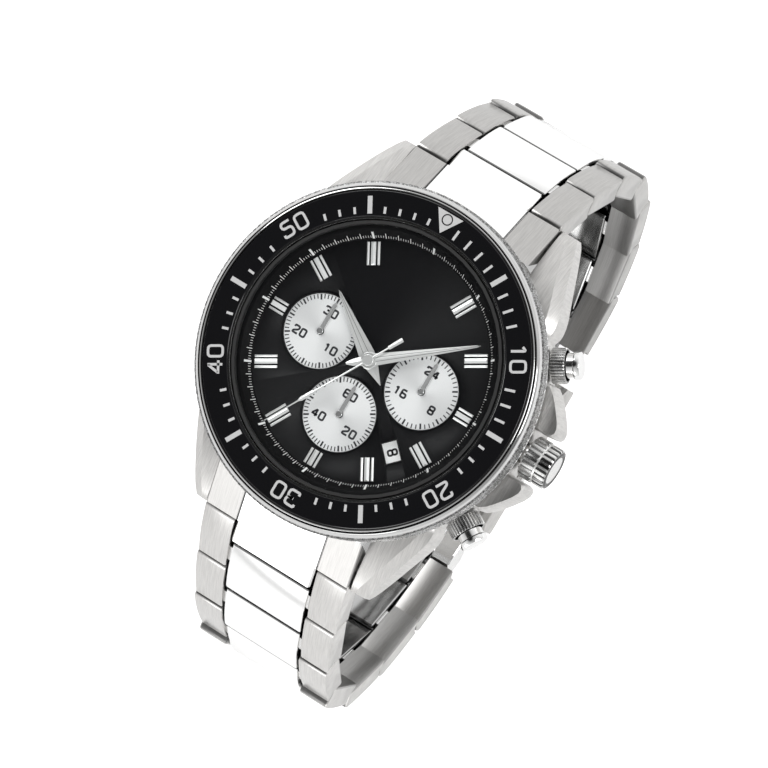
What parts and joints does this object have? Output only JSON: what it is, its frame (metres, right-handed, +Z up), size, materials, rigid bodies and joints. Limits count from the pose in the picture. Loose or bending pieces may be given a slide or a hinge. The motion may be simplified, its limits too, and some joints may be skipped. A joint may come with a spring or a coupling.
{
  "type": "wristwatch",
  "caption": "Analogue chronograph wristwatch with turning bezel, sub-dials, crown, push buttons and hinged steel link bracelet, standing on its closed clasp",
  "frame": {"origin": "on the flat outer face of the closed clasp, straight below the centre of the dial", "axes": "+Z up, the way the dial faces; +Y twelve o'clock; +X three o'clock, the crown's side"},
  "size_m": [0.0492, 0.0808, 0.0611],
  "materials": {
    "case_middle": "brushed",
    "crystal": "clear",
    "crystal_gasket": "matt",
    "flange_ring": "satin black",
    "dial": "sunray black",
    "subdial_3": "silver white",
    "subdial_6": "silver white",
    "subdial_9": "silver white",
    "movement_ring": "moulded",
    "main_plate": "turned",
    "circuit_board": "coated",
    "battery": "brushed",
    "coil_block": "wound wire",
    "stepper_motor": "brushed",
    "train_bridge": "turned",
    "crown_tube": "brushed",
    "case_back": "brushed",
    "back_gasket": "matt",
    "end_link_12": "brushed",
    "end_link_6": "brushed",
    "spring_bar_12": "brushed",
    "spring_bar_6": "brushed",
    "pusher_spring_2": "brushed",
    "pusher_spring_4": "brushed",
    "bezel": "polished",
    "bezel_insert": "glossy black",
    "hour_hand": "polished",
    "minute_hand": "polished",
    "chrono_hand": "polished",
    "subhand_3": "polished",
    "subhand_6": "polished",
    "subhand_9": "polished",
    "date_wheel": "white",
    "clutch": "turned",
    "crown": "polished",
    "stem": "brushed",
    "pusher_2": "brushed",
    "pusher_4": "brushed",
    "pusher_collar_2": "brushed",
    "pusher_collar_4": "brushed",
    "blade_end": "brushed",
    "blade_fold": "brushed",
    "clasp_cover": "brushed",
    "clasp_button_right": "brushed",
    "clasp_button_left": "brushed",
    "link_12_1": "brushed",
    "link_6_1": "brushed",
    "link_12_2": "brushed",
    "link_6_2": "brushed",
    "link_12_3": "brushed",
    "link_6_3": "brushed",
    "link_12_4": "brushed",
    "link_6_4": "brushed",
    "link_12_5": "brushed",
    "link_6_5": "brushed",
    "link_12_6": "brushed",
    "link_6_6": "brushed",
    "link_12_7": "brushed",
    "link_6_7": "brushed"
  },
  "bodies": {
    "head": {"case_middle": "case_middle", "crystal": "crystal", "crystal_gasket": "crystal_gasket", "flange_ring": "flange_ring", "dial": "dial", "subdial_3": "subdial_3", "subdial_6": "subdial_6", "subdial_9": "subdial_9", "movement_ring": "movement_ring", "main_plate": "main_plate", "circuit_board": "circuit_board", "battery": "battery", "coil_block": "coil_block", "stepper_motor": "stepper_motor", "train_bridge": "train_bridge", "crown_tube": "crown_tube", "case_back": "case_back", "back_gasket": "back_gasket", "end_link_12": "end_link_12", "end_link_6": "end_link_6", "spring_bar_12": "spring_bar_12", "spring_bar_6": "spring_bar_6", "pusher_spring_2": "pusher_spring_2", "pusher_spring_4": "pusher_spring_4"},
    "bezel": {"bezel": "bezel", "bezel_insert": "bezel_insert"},
    "hour": {"hour_hand": "hour_hand"},
    "minute": {"minute_hand": "minute_hand"},
    "chrono": {"chrono_hand": "chrono_hand"},
    "sub_hand_3": {"subhand_3": "subhand_3"},
    "sub_hand_6": {"subhand_6": "subhand_6"},
    "sub_hand_9": {"subhand_9": "subhand_9"},
    "date": {"date_wheel": "date_wheel"},
    "clutch": {"clutch": "clutch"},
    "crown": {"crown": "crown", "stem": "stem"},
    "pusher_2": {"pusher_2": "pusher_2"},
    "pusher_4": {"pusher_4": "pusher_4"},
    "collar_2": {"pusher_collar_2": "pusher_collar_2"},
    "collar_4": {"pusher_collar_4": "pusher_collar_4"},
    "blade_end": {"blade_end": "blade_end"},
    "blade_fold": {"blade_fold": "blade_fold"},
    "clasp": {"clasp_cover": "clasp_cover"},
    "button_right": {"clasp_button_right": "clasp_button_right"},
    "button_left": {"clasp_button_left": "clasp_button_left"},
    "link_12_1": {"link_12_1": "link_12_1"},
    "link_6_1": {"link_6_1": "link_6_1"},
    "link_12_2": {"link_12_2": "link_12_2"},
    "link_6_2": {"link_6_2": "link_6_2"},
    "link_12_3": {"link_12_3": "link_12_3"},
    "link_6_3": {"link_6_3": "link_6_3"},
    "link_12_4": {"link_12_4": "link_12_4"},
    "link_6_4": {"link_6_4": "link_6_4"},
    "link_12_5": {"link_12_5": "link_12_5"},
    "link_6_5": {"link_6_5": "link_6_5"},
    "link_12_6": {"link_12_6": "link_12_6"},
    "link_6_6": {"link_6_6": "link_6_6"},
    "link_12_7": {"link_12_7": "link_12_7"},
    "link_6_7": {"link_6_7": "link_6_7"}
  },
  "joints": [
    {"name": "bezel_turn", "type": "hinge", "parent": "head", "child": "bezel", "pos_m": [0, 0, 0.06069], "axis": [0, 0, 1], "continuous": true},
    {"name": "minute_turn", "type": "hinge", "parent": "head", "child": "minute", "pos_m": [0, 0, 0.06069], "axis": [0, 0, -1], "continuous": true},
    {"name": "hour_turn", "type": "hinge", "parent": "head", "child": "hour", "pos_m": [0, 0, 0.06069], "axis": [0, 0, -1], "continuous": true},
    {"name": "chrono_turn", "type": "hinge", "parent": "head", "child": "chrono", "pos_m": [0, 0, 0.06069], "axis": [0, 0, -1], "continuous": true},
    {"name": "day_hour_turn", "type": "hinge", "parent": "head", "child": "sub_hand_3", "pos_m": [0.00755, 0, 0.06069], "axis": [0, 0, -1], "continuous": true},
    {"name": "seconds_turn", "type": "hinge", "parent": "head", "child": "sub_hand_6", "pos_m": [0, -0.00755, 0.06069], "axis": [0, 0, -1], "continuous": true},
    {"name": "chrono_minutes_turn", "type": "hinge", "parent": "head", "child": "sub_hand_9", "pos_m": [-0.00755, 0, 0.06069], "axis": [0, 0, -1], "continuous": true},
    {"name": "date_turn", "type": "hinge", "parent": "head", "child": "date", "pos_m": [0, 0, 0.06069], "axis": [0, 0, -1], "continuous": true},
    {"name": "crown_pull", "type": "slide", "parent": "head", "child": "clutch", "axis": [1, 0, 0], "range_m": [0, 0.0012]},
    {"name": "crown_turn", "type": "hinge", "parent": "clutch", "child": "crown", "pos_m": [0.024, 0, 0.05329], "axis": [1, 0, 0], "continuous": true},
    {"name": "pusher_2_press", "type": "slide", "parent": "head", "child": "pusher_2", "axis": [-0.866, -0.5, 0], "range_m": [0, 0.0006], "stiffness_N_per_m": 800},
    {"name": "collar_2_turn", "type": "hinge", "parent": "head", "child": "collar_2", "pos_m": [0.01905, 0.011, 0.05329], "axis": [0.866, 0.5, 0], "continuous": true},
    {"name": "pusher_4_press", "type": "slide", "parent": "head", "child": "pusher_4", "axis": [-0.866, 0.5, 0], "range_m": [0, 0.0006], "stiffness_N_per_m": 800},
    {"name": "collar_4_turn", "type": "hinge", "parent": "head", "child": "collar_4", "pos_m": [0.01905, -0.011, 0.05329], "axis": [0.866, -0.5, 0], "continuous": true},
    {"name": "link_12_1_turn", "type": "hinge", "parent": "head", "child": "link_12_1", "pos_m": [0, 0.0262, 0.05039], "axis": [1, 0, 0], "range_deg": [0, 30]},
    {"name": "link_12_2_turn", "type": "hinge", "parent": "link_12_1", "child": "link_12_2", "pos_m": [0, 0.03136, 0.04302], "axis": [1, 0, 0], "range_deg": [0, 11]},
    {"name": "link_12_3_turn", "type": "hinge", "parent": "link_12_2", "child": "link_12_3", "pos_m": [0, 0.03502, 0.03479], "axis": [1, 0, 0], "range_deg": [0, 18]},
    {"name": "link_12_4_turn", "type": "hinge", "parent": "link_12_3", "child": "link_12_4", "pos_m": [0, 0.03596, 0.02584], "axis": [1, 0, 0], "range_deg": [0, 22]},
    {"name": "link_12_5_turn", "type": "hinge", "parent": "link_12_4", "child": "link_12_5", "pos_m": [0, 0.03348, 0.01719], "axis": [1, 0, 0], "range_deg": [0, 22]},
    {"name": "link_12_6_turn", "type": "hinge", "parent": "link_12_5", "child": "link_12_6", "pos_m": [0, 0.02794, 0.0101], "axis": [1, 0, 0], "range_deg": [0, 17]},
    {"name": "link_12_7_turn", "type": "hinge", "parent": "link_12_6", "child": "link_12_7", "pos_m": [0, 0.02057, 0.00494], "axis": [1, 0, 0], "range_deg": [0, 23]},
    {"name": "link_6_1_turn", "type": "hinge", "parent": "head", "child": "link_6_1", "pos_m": [0, -0.0262, 0.05039], "axis": [-1, 0, 0], "range_deg": [0, 30]},
    {"name": "link_6_2_turn", "type": "hinge", "parent": "link_6_1", "child": "link_6_2", "pos_m": [0, -0.03222, 0.0437], "axis": [-1, 0, 0], "range_deg": [0, 8]},
    {"name": "link_6_3_turn", "type": "hinge", "parent": "link_6_2", "child": "link_6_3", "pos_m": [0, -0.03725, 0.03624], "axis": [-1, 0, 0], "range_deg": [0, 12]},
    {"name": "link_6_4_turn", "type": "hinge", "parent": "link_6_3", "child": "link_6_4", "pos_m": [0, -0.04063, 0.02789], "axis": [-1, 0, 0], "range_deg": [0, 28]},
    {"name": "link_6_5_turn", "type": "hinge", "parent": "link_6_4", "child": "link_6_5", "pos_m": [0, -0.03969, 0.01894], "axis": [-1, 0, 0], "range_deg": [0, 30]},
    {"name": "link_6_6_turn", "type": "hinge", "parent": "link_6_5", "child": "link_6_6", "pos_m": [0, -0.0344, 0.01166], "axis": [-1, 0, 0], "range_deg": [0, 18]},
    {"name": "link_6_7_turn", "type": "hinge", "parent": "link_6_6", "child": "link_6_7", "pos_m": [0, -0.02711, 0.00637], "axis": [-1, 0, 0], "range_deg": [0, 14]},
    {"name": "blade_end_turn", "type": "hinge", "parent": "link_6_7", "child": "blade_end", "pos_m": [0, -0.01877, 0.003], "axis": [-1, 0, 0], "range_deg": [0, 22]},
    {"name": "blade_fold_turn", "type": "hinge", "parent": "blade_end", "child": "blade_fold", "pos_m": [0, 0.0065, 0.00185], "axis": [1, 0, 0], "range_deg": [0, 90]},
    {"name": "clasp_turn", "type": "hinge", "parent": "blade_fold", "child": "clasp", "pos_m": [0, -0.0124, 0.00195], "axis": [-1, 0, 0], "range_deg": [0, 90]},
    {"name": "button_right_press", "type": "slide", "parent": "clasp", "child": "button_right", "axis": [-1, 0, 0], "range_m": [0, 0.0006], "stiffness_N_per_m": 500},
    {"name": "button_left_press", "type": "slide", "parent": "clasp", "child": "button_left", "axis": [1, 0, 0], "range_m": [0, 0.0006], "stiffness_N_per_m": 500}
  ],
  "couplings": [
    {"joint": "hour_turn", "follows": "minute_turn", "ratio": 0.083333},
    {"joint": "day_hour_turn", "follows": "minute_turn", "ratio": 0.041667},
    {"joint": "chrono_minutes_turn", "follows": "chrono_turn", "ratio": 0.033333}
  ]
}
